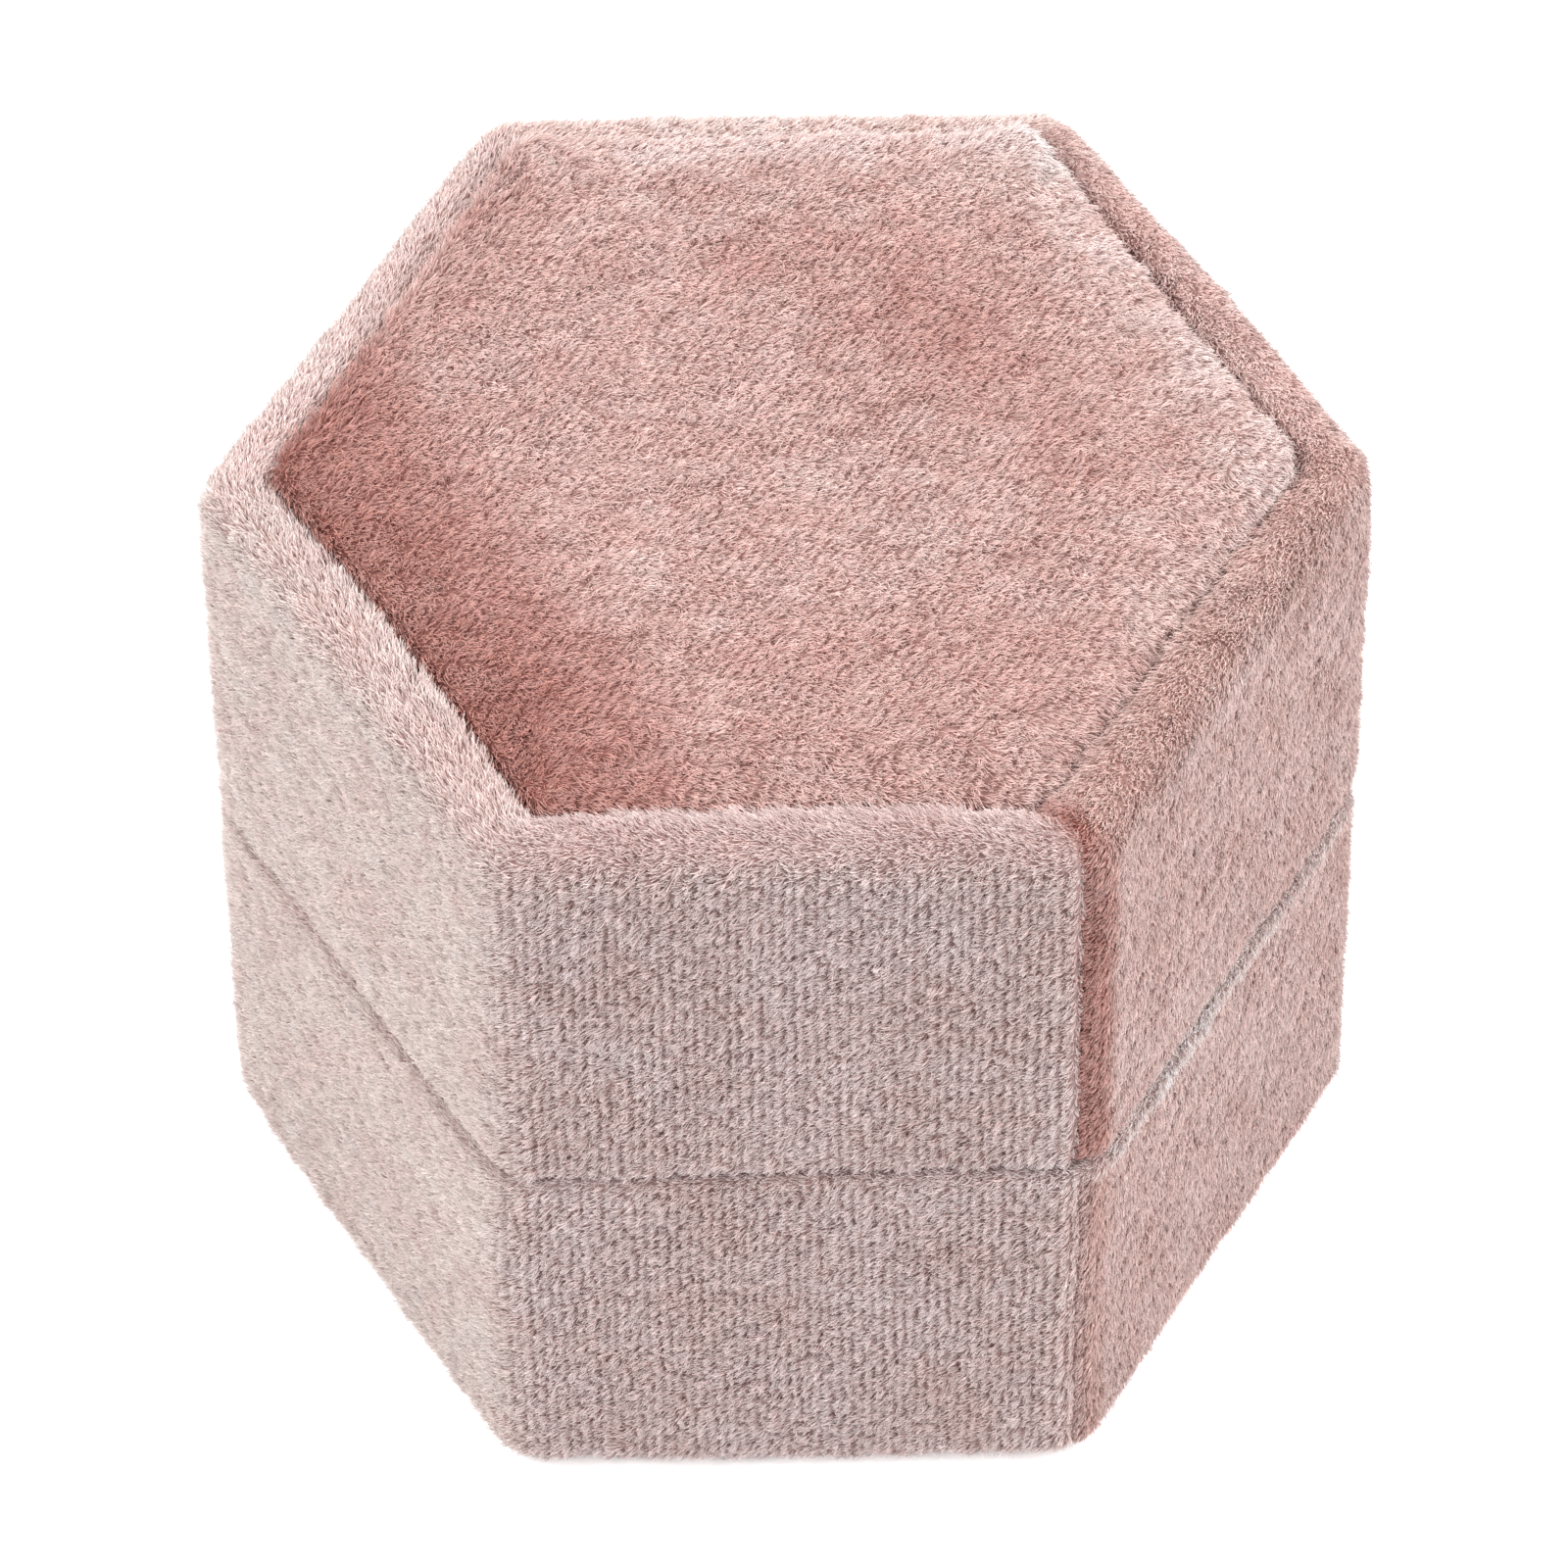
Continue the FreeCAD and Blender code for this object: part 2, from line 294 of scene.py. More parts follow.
def plant(name, body, vertices, triangles, normals, weave, wale_way, nap, length, cover, tuft,
          tone_and_painted_light, density, seed):
    """Velvet pile: short leaning fibres rooted all over the triangles, gathered on knit loops.

    weave is a place in the cloth, wale_way the direction across its wales, nap the way the pile
    lies.  length, cover and tuft are shares of the full pile's length, density and gathering.
    """
    rng = np.random.default_rng(seed)
    a, b, c = (vertices[triangles[:, corner]] for corner in range(3))
    areas = np.linalg.norm(np.cross(b - a, c - a), axis=1) / 2
    counts = rng.poisson(areas * density * cover[triangles].mean(axis=1))
    owner = np.repeat(np.arange(len(triangles)), counts)
    u, v = rng.random(len(owner)), rng.random(len(owner))
    outside = u + v > 1
    u[outside], v[outside] = 1 - u[outside], 1 - v[outside]
    weights = np.stack([1 - u - v, u, v], axis=1)[:, :, None]

    def blended(values):
        values = values if values.ndim == 2 else values[:, None]
        return (values[triangles[owner]] * weights).sum(axis=1)

    root = blended(vertices)
    up = unit(blended(normals))
    along = blended(nap)
    along = unit(along - up * (along * up).sum(axis=1, keepdims=True))
    sideways = np.cross(up, along)
    count = len(owner)
    swirl = 0.08 * waves(root, 6.0, seed + 1) + 0.22 * waves(root, 1.1, seed + 2)
    swirl = (swirl + rng.normal(0, 0.40, count))[:, None]
    along = along * np.cos(swirl) + sideways * np.sin(swirl)
    lean = LEAN + 0.12 * waves(root, 1.5, seed + 3) + 0.04 * waves(root, 9.0, seed + 4)
    lean = np.clip(lean + rng.normal(0, 0.20, count), 0.12, 1.40)[:, None]

    pitch = np.array([WALE, COURSE])
    cloth = blended(weave)
    loop = np.floor(cloth / pitch)
    mixed = np.sin(loop @ np.array([[12.9898, 39.346], [78.233, 11.135]])) * 43758.5453
    middle = (loop + 0.5 + 0.3 * (mixed - np.floor(mixed) - 0.5)) * pitch
    away = (middle - cloth) * np.array([0.70, 0.50])
    across = blended(wale_way)
    across = unit(across - up * (across * up).sum(axis=1, keepdims=True))
    gather = blended(tuft)
    pull = (across * away[:, :1] + np.cross(up, across) * away[:, 1:]) * gather
    loop_length = 1 + 0.22 * gather * np.sin(mixed[:, :1] * 7.0)

    reach = PILE_LENGTH * blended(length) * rng.uniform(0.72, 1.15, count)[:, None] * loop_length
    stand, lie = np.sin(lean), np.cos(lean)
    path = np.empty((count, FIBRE_POINTS, 3))
    for index in range(FIBRE_POINTS):
        t = index / (FIBRE_POINTS - 1)
        rise = stand * (t * 1.35 - 0.45 * t * t)
        run = lie * (0.72 * t + 0.28 * t * t)
        path[:, index] = root + reach * (up * rise + along * run) + pull * t
    path[:, 0] -= up * 0.06
    hair = bpy.data.hair_curves.new(name)
    hair.add_curves([FIBRE_POINTS] * count)
    hair.attributes["position"].data.foreach_set("vector", (path * MM).ravel())
    radius = hair.attributes.new("radius", "FLOAT", "POINT")
    taper = np.linspace(PILE_ROOT, PILE_TIP, FIBRE_POINTS)
    thick = rng.uniform(0.8, 1.25, count)[:, None] * taper[None, :]
    radius.data.foreach_set("value", (thick * MM).ravel())
    colour = hair.attributes.new("tone_and_painted_light", "FLOAT_COLOR", "CURVE")
    shade = blended(tone_and_painted_light) * np.exp(rng.normal(0, 0.13, count))[:, None]
    colour.data.foreach_set(
        "color", np.concatenate([shade, np.ones((count, 1))], axis=1).ravel())
    hair.materials.append(FIBRE)
    made = linked(name, hair)
    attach(made, body)
    return count


# ---------------------------------------------------------------- materials
def new_material(name):
    material = bpy.data.materials.new(name)
    material.use_nodes = True
    material.node_tree.nodes.clear()
    return material, material.node_tree.nodes, material.node_tree.links


def new_node(nodes, kind, values):
    """One shader node, with some of its inputs set."""
    node = nodes.new("ShaderNode" + kind)
    for name, value in values.items():
        node.inputs[name].default_value = value
    return node


def noise(nodes, links, place, scale, detail, distortion=0.0):
    made = new_node(nodes, "TexNoise", {
        "Scale": scale, "Detail": detail, "Distortion": distortion})
    links.new(place, made.inputs["Vector"])
    return made.outputs["Fac"]


def ramp(nodes, links, value, *stops):
    """Colour that a value stands for, from two pairs of position and colour."""
    made = nodes.new("ShaderNodeValToRGB")
    for element, (position, colour) in zip(made.color_ramp.elements, stops):
        element.color = (*colour, 1)
        element.position = position
    links.new(value, made.inputs["Fac"])
    return made.outputs["Color"]


def with_tone_and_painted_light(nodes, links, colour):
    """A colour times the painted sheen and shade, and random tint, stored with the mesh or the
    pile.
    """
    tone_and_painted_light = nodes.new("ShaderNodeAttribute")
    tone_and_painted_light.attribute_name = "tone_and_painted_light"
    tint = nodes.new("ShaderNodeMix")
    tint.data_type = "RGBA"
    tint.blend_type = "MULTIPLY"
    tint.inputs["Factor"].default_value = 1.0
    links.new(colour, tint.inputs[6])
    links.new(tone_and_painted_light.outputs["Color"], tint.inputs[7])
    return tint.outputs[2]


def output(nodes, links, shader):
    end = nodes.new("ShaderNodeOutputMaterial")
    links.new(shader.outputs[0], end.inputs["Surface"])


def rough_surface(nodes, links, colour, height, bump_strength, bump_depth, values):
    """A matt surface with fine relief, as the material's output."""
    bump = new_node(nodes, "Bump", {"Strength": bump_strength, "Distance": bump_depth})
    links.new(height, bump.inputs["Height"])
    shader = new_node(nodes, "BsdfPrincipled", values)
    links.new(colour, shader.inputs["Base Color"])
    links.new(bump.outputs[0], shader.inputs["Normal"])
    output(nodes, links, shader)


def fibre_material():
    """One velvet fibre: root dark and rich by painted shade, pale tip, and a soft sheen."""
    material, nodes, links = new_material("velvet_fibre")
    info = nodes.new("ShaderNodeHairInfo")
    colour = ramp(nodes, links, info.outputs["Intercept"], (0.0, SHADED_ROOT_COLOUR), (0.85, TIP_COLOUR))
    body = new_node(nodes, "BsdfDiffuse", {"Roughness": 0.6})
    links.new(with_tone_and_painted_light(nodes, links, colour), body.inputs["Color"])
    gloss = new_node(nodes, "BsdfHair", {
        "RoughnessU": 0.35, "RoughnessV": 0.8, "Color": (1.0, 0.95, 0.94, 1)})
    gloss.component = "Reflection"
    mixed = new_node(nodes, "MixShader", {"Fac": 0.16})
    links.new(body.outputs[0], mixed.inputs[1])
    links.new(gloss.outputs[0], mixed.inputs[2])
    output(nodes, links, mixed)
    return material


def velvet_material():
    """Velvet seen as a surface: tufts, streaks of laid pile, soft mottling and a pale sheen."""
    material, nodes, links = new_material("dusty_rose_velvet")
    place = nodes.new("ShaderNodeTexCoord").outputs["Object"]
    stretch = new_node(nodes, "Mapping", {
        "Location": (1.0, 0.3, 0.7), "Scale": (0.6, 0.6, 1.0)})
    links.new(place, stretch.inputs["Vector"])
    streaks = noise(nodes, links, stretch.outputs[0], 3200, 3, 0.8)
    tufts = noise(nodes, links, place, 900, 2)
    mottle = noise(nodes, links, place, 110, 2)
    height = None
    for part, share in ((mottle, 0.25), (tufts, 0.3), (streaks, 0.6)):
        added = nodes.new("ShaderNodeMath")
        added.operation = "MULTIPLY_ADD"
        added.inputs[1].default_value = share
        added.inputs[2].default_value = 0.0
        links.new(part, added.inputs[0])
        if height is not None:
            links.new(height, added.inputs[2])
        height = added.outputs[0]
    # The relief's low places get a painted shade, darker as between fibres.
    hollow_shade_colour = (0.5 * SHADED_ROOT_COLOUR + 0.5 * TIP_COLOUR) * 0.78
    colour = ramp(nodes, links, height,
                  (0.42, hollow_shade_colour * SURFACE_SHARE), (0.72, TIP_COLOUR * SURFACE_SHARE))
    rough_surface(nodes, links, with_tone_and_painted_light(nodes, links, colour), height, 0.55, 0.00025, {
        "Roughness": 0.92, "Specular IOR Level": 0.15, "Sheen Weight": 0.35,
        "Sheen Roughness": 0.45, "Sheen Tint": (0.95, 0.85, 0.83, 1)})
    return material


def board_material(name, dark, light, scale, bump_depth):
    """Raw board, card or paper: pressed fibres with flecks."""
    material, nodes, links = new_material(name)
    place = nodes.new("ShaderNodeTexCoord").outputs["Object"]
    fine = noise(nodes, links, place, scale, 5, 1.2)
    colour = ramp(nodes, links, fine, (0.36, dark), (0.62, light))
    rough_surface(nodes, links, colour, fine, 0.4, bump_depth, {
        "Roughness": 0.88, "Specular IOR Level": 0.2})
    return material


FIBRE = fibre_material()
VELVET = velvet_material()
GREY_BOARD = board_material("grey_board", (0.22, 0.20, 0.18), (0.38, 0.36, 0.33), 1800, 0.00005)
WHITE_CARD = board_material("white_card", (0.66, 0.64, 0.60), (0.80, 0.79, 0.75), 1500, 0.00002)
FLOCK_PAPER = board_material("flock_paper", (0.42, 0.25, 0.23), (0.62, 0.43, 0.40), 4200, 0.00004)
FOAM = board_material("open_cell_foam", (0.55, 0.52, 0.46), (0.85, 0.83, 0.78), 2600, 0.0002)


# ---------------------------------------------------------------- velvet pieces
LID_TURN = math.radians(0.41)        # the lid sits a little turned and to the right
LID_SHIFT = np.array([0.12, 0.0, 0.0])


def settled(points, body):
    """Hand-made unevenness: a slow drift of the surface, and the way the lid happens to sit."""
    moved = points + 0.04 * wave_vectors(points, 24.0, 11) + 0.02 * wave_vectors(points, 7.0, 21)
    if body == "base":
        return moved
    turn = np.array([[math.cos(LID_TURN), math.sin(LID_TURN), 0],
                     [-math.sin(LID_TURN), math.cos(LID_TURN), 0],
                     [0, 0, 1]])
    return moved @ turn + LID_SHIFT


# Painted sheen and shade: velvet looks greyer where the eye meets its pile side on, and redder
# where it looks in at the roots, and lighter or darker as light falls on each panel, so each panel
# has a painted shade of its own: anticlockwise from the right back one.  The shades were chosen by
# comparing renders with the photo.
PANELS = [math.radians(30 + 60 * index) for index in range(6)]
FRONT, RIGHT_FRONT = 4, 5
RIM_PAINTED_SHEEN_AND_SHADE = np.array([
    [1.04, 1.09, 1.09], [1.06, 1.22, 1.23], [1.05, 1.18, 1.20],
    [1.00, 1.13, 1.14], [0.94, 1.01, 1.03], [0.97, 0.98, 0.96]])
SIDE_PAINTED_SHEEN_AND_SHADE = np.array([
    [0.90, 1.00, 1.01], [0.90, 1.04, 1.07], [0.93, 1.08, 1.09],
    [0.88, 1.02, 1.03], [0.88, 0.995, 1.03], [0.905, 0.965, 0.97]])
DEEPEN = np.array([0.38, 1.0, 1.15])     # shading by roots that show darkens red the least


def panel_share(points):
    """How much a place belongs to each of the six panels."""
    facing = np.stack([np.cos(PANELS), np.sin(PANELS)])
    weight = (points[:, :2] @ facing) / 0.5
    weight = np.exp(weight - weight.max(axis=1, keepdims=True))
    return weight / weight.sum(axis=1, keepdims=True)


def panel_painted_sheen_and_shade(points, normals):
    """Painted sheen and shade of the wraps, from a place's panel and from how level it lies."""
    weight = panel_share(points)
    inward = (points[:, :2] * normals[:, :2]).sum(axis=1) < -5
    level = np.maximum(smooth_step(0.12, 0.95, normals[:, 2]), inward)
    level = (level * smooth_step(40, 42, points[:, 2]))[:, None]
    tone_and_painted_light = (weight @ RIM_PAINTED_SHEEN_AND_SHADE) * level + (weight @ SIDE_PAINTED_SHEEN_AND_SHADE) * (1 - level)
    patch = 0.018 * waves(points, 9.0, 61) + 0.02 * waves(points, 3.0, 62)
    return tone_and_painted_light * np.exp(patch[:, None] * DEEPEN)


def strip_piece(name, body, replaced, outer_plan, inner_plan, wall, corners, radii, closed,
                density, seed, shape=None, tone_and_painted_light=None):
    """A velvet strip wrapped round a wall, as one closed solid, with its pile."""
    nominal, outward = section_path(corners, radii, GRID)
    steps = np.linalg.norm(np.diff(nominal, axis=0), axis=1)
    strides = np.linalg.norm(np.diff(outer_plan, axis=0), axis=1)
    if closed:
        strides = np.append(strides, np.linalg.norm(outer_plan[0] - outer_plan[-1]))
    face = sweep(outer_plan, inner_plan, wall, nominal - outward * SKIN)
    back = sweep(outer_plan, inner_plan, wall, nominal - outward * CLOTH)
    columns, rows = face.shape[:2]
    lengths = np.ones((columns, rows))
    if shape is not None:
        face, back, lengths = shape(face, back, lengths)
    normals = grid_normals(face, closed)
    along = np.gradient(face, axis=0) if not closed else (
        np.roll(face, -1, axis=0) - np.roll(face, 1, axis=0))
    along = unit(along).reshape(-1, 3)
    weave = np.stack(np.meshgrid(
        np.concatenate([[0], np.cumsum(strides)]), np.concatenate([[0], np.cumsum(steps)]),
        indexing="ij"), axis=-1).reshape(-1, 2)
    tucked = (nominal[:, 0] < -wall + 0.25) & (nominal[:, 1] < DECK_LOW[2])
    tucked &= density > HIDDEN_DENSITY
    cover = np.broadcast_to(np.where(tucked, 0.3, 1.0), (columns, rows)).reshape(-1)
    flat_face = face.reshape(-1, 3)
    flat_normals = normals.reshape(-1, 3)
    relief = 0.022 * waves(flat_face, 1.1, seed + 31) + 0.02 * waves(flat_face, 2.6, seed + 32)
    moved_face = settled(flat_face, body) + flat_normals * relief[:, None]
    moved_back = settled(back.reshape(-1, 3), body)
    # Painted sheen and shade of each panel, times any painted shade and highlight of this piece.
    tones_and_painted_light = panel_painted_sheen_and_shade(flat_face, flat_normals)
    if tone_and_painted_light is not None:
        tones_and_painted_light = tones_and_painted_light * np.exp(tone_and_painted_light(face).reshape(-1, 1) * DEEPEN)
    quads = shell_faces(columns, rows, closed)
    made = new_object(name, np.concatenate([moved_face, moved_back]), quads, [VELVET])
    colour_attribute(made, "tone_and_painted_light", np.concatenate([tones_and_painted_light, tones_and_painted_light]))
    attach(made, body)
    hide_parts(replaced)
    tuft = 0.35 + 0.65 * panel_share(flat_face)[:, FRONT] * (flat_normals[:, 2] < 0.5)
    fields = [moved_face, flat_normals, along, lengths.reshape(-1), cover, tuft, tones_and_painted_light]
    if closed:
        fields = [np.concatenate([field, field[:rows]]) for field in fields]
    ground, ways, run, lengths, cover, tuft, tones_and_painted_light = fields
    triangles = grid_triangles(len(ground) // rows, rows)
    count = plant(name + "_pile", body, ground, triangles, ways, weave, run, -run,
                  lengths, cover, tuft, tones_and_painted_light, density, seed)


# ---- the lid's wrap: its two ends meet in a crease at the front right corner
TUCKED = 13                  # columns at the strip's start that go in behind its end
FLAP = 8                     # columns at its end, past the last fold
CREASE_WIDTH = 0.80
CORNER_FOLD = 1.3            # how far the gathered cloth fills the recess's corner there
FOLD_REACH = 3.2             # over which that dies away


def tucked_corner(apothem, radius):
    """Centre and places of the rounded corner that the tucked end goes round."""
    centre = (apothem - radius) / COS_30 * CORNER_WAY
    turns = np.radians(np.linspace(270, 330, TUCKED - 4))
    return centre, centre + radius * np.stack([np.cos(turns), np.sin(turns)], axis=1)


def lid_outer_plan(columns):
    """The front panel runs on flat to the corner; the right panel's end tucks in behind it."""
    plan = ring(columns, OUTER, CORNER_RADIUS)
    centre, arc = tucked_corner(OUTER, CORNER_RADIUS)
    start = np.array([[centre[0] - step, -OUTER] for step in (1.7, 1.25, 0.8, 0.35)])
    plan[:TUCKED] = np.concatenate([start, arc])
    end = OUTER / COS_30 * 0.5 - CREASE_WIDTH
    plan[-FLAP:, 0] = np.linspace(centre[0], end, FLAP)
    plan[-FLAP:, 1] = -OUTER
    return plan


def lid_inner_plan(columns, inner):
    """Round the recess, with the corner under the crease filled by folded cloth."""
    plan = ring(columns, inner, RECESS_RADIUS)
    centre, plan[4:TUCKED] = tucked_corner(inner, RECESS_RADIUS)
    plan[:4, 0] = centre[0] - np.array([1.2, 0.9, 0.6, 0.3])
    plan[:4, 1] = -inner
    first = len(plan) // 6
    away = np.linalg.norm(plan[:first] - inner / COS_30 * CORNER_WAY, axis=1)
    plan[:first, 0] -= CORNER_FOLD * np.exp(-away / FOLD_REACH)
    return plan


def lid_shape(face, back, lengths):
    """Sinks the tucked end, rounds the flap's edge and upper corner, fills the recess's edge."""
    from_axis = np.sqrt((face[:, :, 0] ** 2 + face[:, :, 1] ** 2))
    lengths *= 1 + 0.6 * (from_axis < OUTER - 1.6) * smooth_step(43, 45, face[:, :, 2]) * (
        1 - smooth_step(LID_HIGH[2] - 0.5, LID_HIGH[2] - 0.1, face[:, :, 2]))
    for column in range(TUCKED):
        share = smooth_step(3, TUCKED - 2, column)
        face[column] = back[column] + (face[column] - back[column]) * (0.35 + 0.65 * share)
        lengths[column] *= 0.6 + 0.4 * share
    edge = face[-1].copy()
    for column in range(len(face) - FLAP, len(face)):
        distance = np.linalg.norm(face[column] - edge, axis=1)
        swell = np.sqrt(np.clip(1 - (1 - np.clip(distance / 0.5, 0, 1)) ** 2, 0.02, 1))
        face[column] = back[column] + (face[column] - back[column]) * swell[:, None]
        lengths[column] *= 0.4 + 0.6 * np.clip(distance / 0.9, 0, 1)
    across = np.clip((edge[:, 1] + OUTER) / LID_WALL, 0, 1)
    wanted = edge[:, 0].max() - 2.5 * across ** 3
    draw = (edge[:, 0] - wanted) * smooth_step(LID_HIGH[2] - 8, LID_HIGH[2] - 5, edge[:, 2])
    for column in range(len(face) - FLAP - 12, len(face)):
        near = np.clip(1 - (edge[:, 0] - face[column, :, 0]) / 5.0, 0, 1) ** 1.5
        face[column, :, 0] -= draw * near
        back[column, :, 0] -= draw * near
    return face, back, lengths


def lid_crease_shade(face):
    """Painted shade in the crease, where roots show, and where the tucked end turns to the front.
    """
    sharp = OUTER / COS_30 * CORNER_WAY
    inner = (OUTER - LID_WALL) / COS_30 * CORNER_WAY - np.array([CORNER_FOLD, 0])
    way = inner - sharp
    reach = np.linalg.norm(way)
    places = face[:, :, :2] - sharp
    run = np.clip(places @ way / reach ** 2, 0, 1)[:, :, None]
    away = np.linalg.norm(places - run * way, axis=2)
    column = np.arange(len(face))[:, None]
    on_right = column < len(face) // 2
    wide = np.where(on_right, 2.0, 0.5)
    depth = np.where(on_right, -0.62, -0.35) + 0.20 * smooth_step(38, 47, face[:, :, 2])
    shade = depth * (1 - smooth_step(0.35, 1.0, away / wide))
    # Painted shade in the dark crease at the flap's end.
    flap_end = face[-1, :, :2][None]
    beyond = np.linalg.norm(face[:, :, :2] - flap_end, axis=2)
    return shade - 0.9 * on_right * np.exp(-(beyond / 0.45) ** 2)


def make_lid_wrap():
    columns = plan_columns(GRID, 7, (TUCKED, FLAP))
    outer_plan = lid_outer_plan(columns)
    inner_plan = lid_inner_plan(columns, OUTER - LID_WALL)
    turn_in_top = LINING_LOW[2]
    corners = [(-LID_WALL, turn_in_top), (-LID_WALL, LID_LOW[2]), (0, LID_LOW[2]),
               (0, LID_HIGH[2]), (-LID_WALL, LID_HIGH[2]), (-LID_WALL, DECK_HIGH[2])]
    strip_piece(
        "lid_outer_wrap", "lid", "lid_outer_velvet", outer_plan, inner_plan, LID_WALL,
        corners, [0.9, 0.7, 1.8, 1.5], False, PILE_DENSITY, 100,
        lid_shape, lid_crease_shade)


# ---- the base's wrap: a closed round of velvet, with a faint seam at the same corner
SEAM_ANGLE = 300             # degrees, of the front right corner
CORNER_DISTANCE = 29         # of the seam from the axis


def base_shape(face, back, lengths):
    """A shallow groove at the seam, and a ridge along the right front panel's upper edge."""
    angle = np.degrees(np.arctan2(face[:, :, 1], face[:, :, 0])) % 360
    away = np.abs(angle - SEAM_ANGLE) * math.radians(1) * CORNER_DISTANCE
    groove = 0.22 * np.exp(-(away / 0.45) ** 2)
    face += (back - face) * groove[:, :, None]
    lengths *= 1 - 0.35 * np.exp(-(away / 0.5) ** 2)
    swell = ridge(face) * (0.30 - 0.010 * (face[:, :, :2] @ PANEL_RUN))
    face[:, :, :2] += swell[:, :, None] * PANEL_WAY
    return face, back, lengths


def right_front_share(face):
    return panel_share(face.reshape(-1, 3))[:, RIGHT_FRONT].reshape(face.shape[:2])


def ridge(face):
    """1 along the upper edge of the right front panel, where the cloth stands a little proud."""
    out = smooth_step(OUTER - 1.6, OUTER - 0.6, face[:, :, :2] @ PANEL_WAY)
    return right_front_share(face) * out * smooth_step(
        BASE_HIGH[2] - 1.3, BASE_HIGH[2] - 0.5, face[:, :, 2])


def base_ridge_highlight_and_seam_shade(face):
    """Painted highlight on that edge's ridge, and painted shade beside the seam, where roots show.
    """
    corner = OUTER / COS_30 * CORNER_WAY
    along = (face[:, :, :2] - corner) @ PANEL_RUN
    beside = smooth_step(0.1, 0.6, along) * (1 - smooth_step(1.0, 2.6, along))
    return 0.25 * ridge(face) - 0.20 * beside * right_front_share(face)


def make_base_wrap():
    columns = plan_columns(GRID)[:-1]
    outer_plan = ring(columns, OUTER, CORNER_RADIUS)
    inner_plan = ring(columns, OUTER - BASE_WALL, 1.0)
    bottom = BASE_LOW[2]
    sheet_edge = OUTER - SHEET_HIGH[1]
    corners = [(-sheet_edge - 1.6, SHEET_HIGH[2]), (-sheet_edge + 0.1, SHEET_HIGH[2]),
               (-sheet_edge + 0.7, bottom), (0, bottom), (0, BASE_HIGH[2]),
               (-BASE_WALL, BASE_HIGH[2]), (-BASE_WALL, BASE_HIGH[2] - 8)]
    strip_piece(
        "base_outer_wrap", "base", "base_outer_velvet", outer_plan, inner_plan, BASE_WALL,
        corners, [0.3, 0.3, 1.5, 0.7, 1.0], True, PILE_DENSITY, 200,
        base_shape, base_ridge_highlight_and_seam_shade)


def make_collar():
    columns = plan_columns(GRID * 1.5)[:-1]
    outer = COLLAR_HIGH[1]
    wall = outer - (INSERT_HIGH[1] + 0.2)
    outer_plan = ring(columns, outer, 0.9)
    inner_plan = ring(columns, outer - wall, 0.8)
    low, high = COLLAR_LOW[2], COLLAR_HIGH[2]
    corners = [(0, low), (0, high), (-wall, high), (-wall, low)]
    strip_piece(
        "collar_wrap", "base", "collar_velvet", outer_plan, inner_plan, wall,
        corners, [0.95, 0.95], True, HIDDEN_DENSITY, 300)


def make_lining():
    columns = plan_columns(GRID * 1.5)[:-1]
    outer = LINING_HIGH[1]
    outer_plan = ring(columns, outer, 0.9)
    inner_plan = ring(columns, outer - CLOTH, 0.8)
    low, high = LINING_LOW[2], LINING_HIGH[2]
    corners = [(-CLOTH, high), (-CLOTH, low)]
    strip_piece(
        "lid_lining", "lid", "lid_lining_velvet", outer_plan, inner_plan, CLOTH,
        corners, [], True, HIDDEN_DENSITY, 400)


# ---------------------------------------------------------------- padded pieces
SIM_SCALE = 10.0             # the cloth solver works on a model this many times larger
SIM_VOXEL = 5.0              # at that scale, millimetres
SIM_FRAMES = 20


def hexagon_points(apothem, radius, per_corner=7):
    """One rounded hexagon, as points for a plain outline."""
    columns = [("corner", corner, 60 * corner + angle)
               for corner in range(6) for angle in np.linspace(-30, 30, per_corner)]
    return ring(columns, apothem, radius)


def block_from(outline, low, high, name="cutter"):
    """A block with one outline all the way up."""
    count = len(outline)
    lower = np.concatenate([outline, np.full((count, 1), low)], axis=1)
    upper = np.concatenate([outline, np.full((count, 1), high)], axis=1)
    faces = [tuple(range(count - 1, -1, -1)), tuple(range(count, 2 * count))]
    for index in range(count):
        following = (index + 1) % count
        faces.append((index, following, count + following, count + index))
    return new_object(name, np.concatenate([lower, upper]), faces)


def modify(made, kind, **settings):
    """Runs one modifier on an object and keeps the mesh that it makes."""
    modifier = made.modifiers.new(kind, kind)
    for name, value in settings.items():
        setattr(modifier, name, value)
    graph = bpy.context.evaluated_depsgraph_get()
    graph.update()
    result = bpy.data.meshes.new_from_object(made.evaluated_get(graph))
    old = made.data
    made.modifiers.clear()
    made.data = result
    bpy.data.meshes.remove(old)


def remesh(made, voxel):
    modify(made, "REMESH", mode="VOXEL", voxel_size=voxel * MM)


def vertices_of(made):
    places = np.empty(len(made.data.vertices) * 3)
    made.data.vertices.foreach_get("co", places)
    return places.reshape(-1, 3) / MM


def set_vertices(made, places):
    made.data.vertices.foreach_set("co", (places * MM).ravel())
    made.data.update()


def normals_of(made):
    normals = np.empty(len(made.data.vertices) * 3)
    made.data.vertex_normals.foreach_get("vector", normals)
    return normals.reshape(-1, 3)


def triangles_of(made):
    made.data.calc_loop_triangles()
    triangles = np.empty(len(made.data.loop_triangles) * 3, dtype=np.int32)
    made.data.loop_triangles.foreach_get("vertices", triangles)
    return triangles.reshape(-1, 3)


